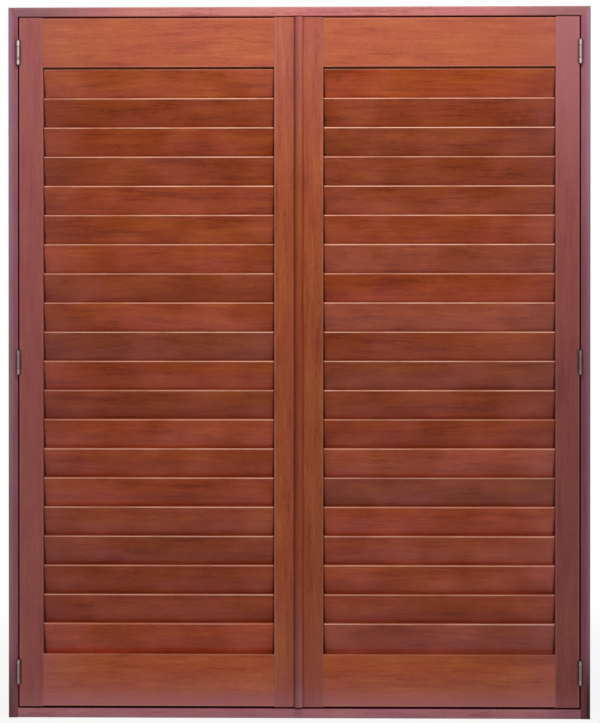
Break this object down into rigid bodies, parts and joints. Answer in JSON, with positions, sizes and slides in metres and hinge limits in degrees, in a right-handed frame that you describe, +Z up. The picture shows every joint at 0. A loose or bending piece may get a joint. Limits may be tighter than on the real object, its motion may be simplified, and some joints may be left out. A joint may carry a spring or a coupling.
{
  "type": "louvred shutters",
  "caption": "Louvred timber shutters hung on butt hinges in a mitred rebated frame, with fixed sloping slats housed in the stiles and a cover bead over the meeting gap.",
  "frame": {"origin": "middle of the sill's underside, midway through the frame's depth", "axes": "+Z up, +X to the right seen from the knuckle side, +Y away from that side; the leaves open towards -Y"},
  "size_m": [1.2, 0.068, 1.467],
  "materials": {
    "frame_wood": "red-brown stained hardwood, satin varnish",
    "leaf_wood": "red-brown stained hardwood, satin varnish",
    "louvre_wood": "orange-brown stained hardwood with straight grain, satin varnish",
    "hinge_metal": "dull nickel plate"
  },
  "bodies": {
    "frame": {"head": "frame_wood", "sill": "frame_wood", "left_jamb": "frame_wood", "right_jamb": "frame_wood", "frame_hinge_leaves": "hinge_metal", "hinge_pins": "hinge_metal"},
    "left_leaf": {"left_hinge_stile": "leaf_wood", "left_meeting_stile": "leaf_wood", "left_top_rail": "leaf_wood", "left_bottom_rail": "leaf_wood", "left_louvre_01": "louvre_wood", "left_louvre_02": "louvre_wood", "left_louvre_03": "louvre_wood", "left_louvre_04": "louvre_wood", "left_louvre_05": "louvre_wood", "left_louvre_06": "louvre_wood", "left_louvre_07": "louvre_wood", "left_louvre_08": "louvre_wood", "left_louvre_09": "louvre_wood", "left_louvre_10": "louvre_wood", "left_louvre_11": "louvre_wood", "left_louvre_12": "louvre_wood", "left_louvre_13": "louvre_wood", "left_louvre_14": "louvre_wood", "left_louvre_15": "louvre_wood", "left_louvre_16": "louvre_wood", "left_louvre_17": "louvre_wood", "left_louvre_18": "louvre_wood", "left_louvre_19": "louvre_wood", "left_louvre_20": "louvre_wood", "left_leaf_hinge_leaves": "hinge_metal"},
    "right_leaf": {"right_hinge_stile": "leaf_wood", "right_meeting_stile": "leaf_wood", "right_top_rail": "leaf_wood", "right_bottom_rail": "leaf_wood", "right_louvre_01": "louvre_wood", "right_louvre_02": "louvre_wood", "right_louvre_03": "louvre_wood", "right_louvre_04": "louvre_wood", "right_louvre_05": "louvre_wood", "right_louvre_06": "louvre_wood", "right_louvre_07": "louvre_wood", "right_louvre_08": "louvre_wood", "right_louvre_09": "louvre_wood", "right_louvre_10": "louvre_wood", "right_louvre_11": "louvre_wood", "right_louvre_12": "louvre_wood", "right_louvre_13": "louvre_wood", "right_louvre_14": "louvre_wood", "right_louvre_15": "louvre_wood", "right_louvre_16": "louvre_wood", "right_louvre_17": "louvre_wood", "right_louvre_18": "louvre_wood", "right_louvre_19": "louvre_wood", "right_louvre_20": "louvre_wood", "right_leaf_hinge_leaves": "hinge_metal", "cover_bead": "leaf_wood"}
  },
  "joints": [
    {"name": "left_leaf_swing", "type": "hinge", "parent": "frame", "child": "left_leaf", "pos_m": [-0.579, -0.0333, 0.73425], "axis": [0, 0, -1], "range_deg": [0, 175]},
    {"name": "right_leaf_swing", "type": "hinge", "parent": "frame", "child": "right_leaf", "pos_m": [0.579, -0.0333, 0.73425], "axis": [0, 0, 1], "range_deg": [0, 175]}
  ]
}
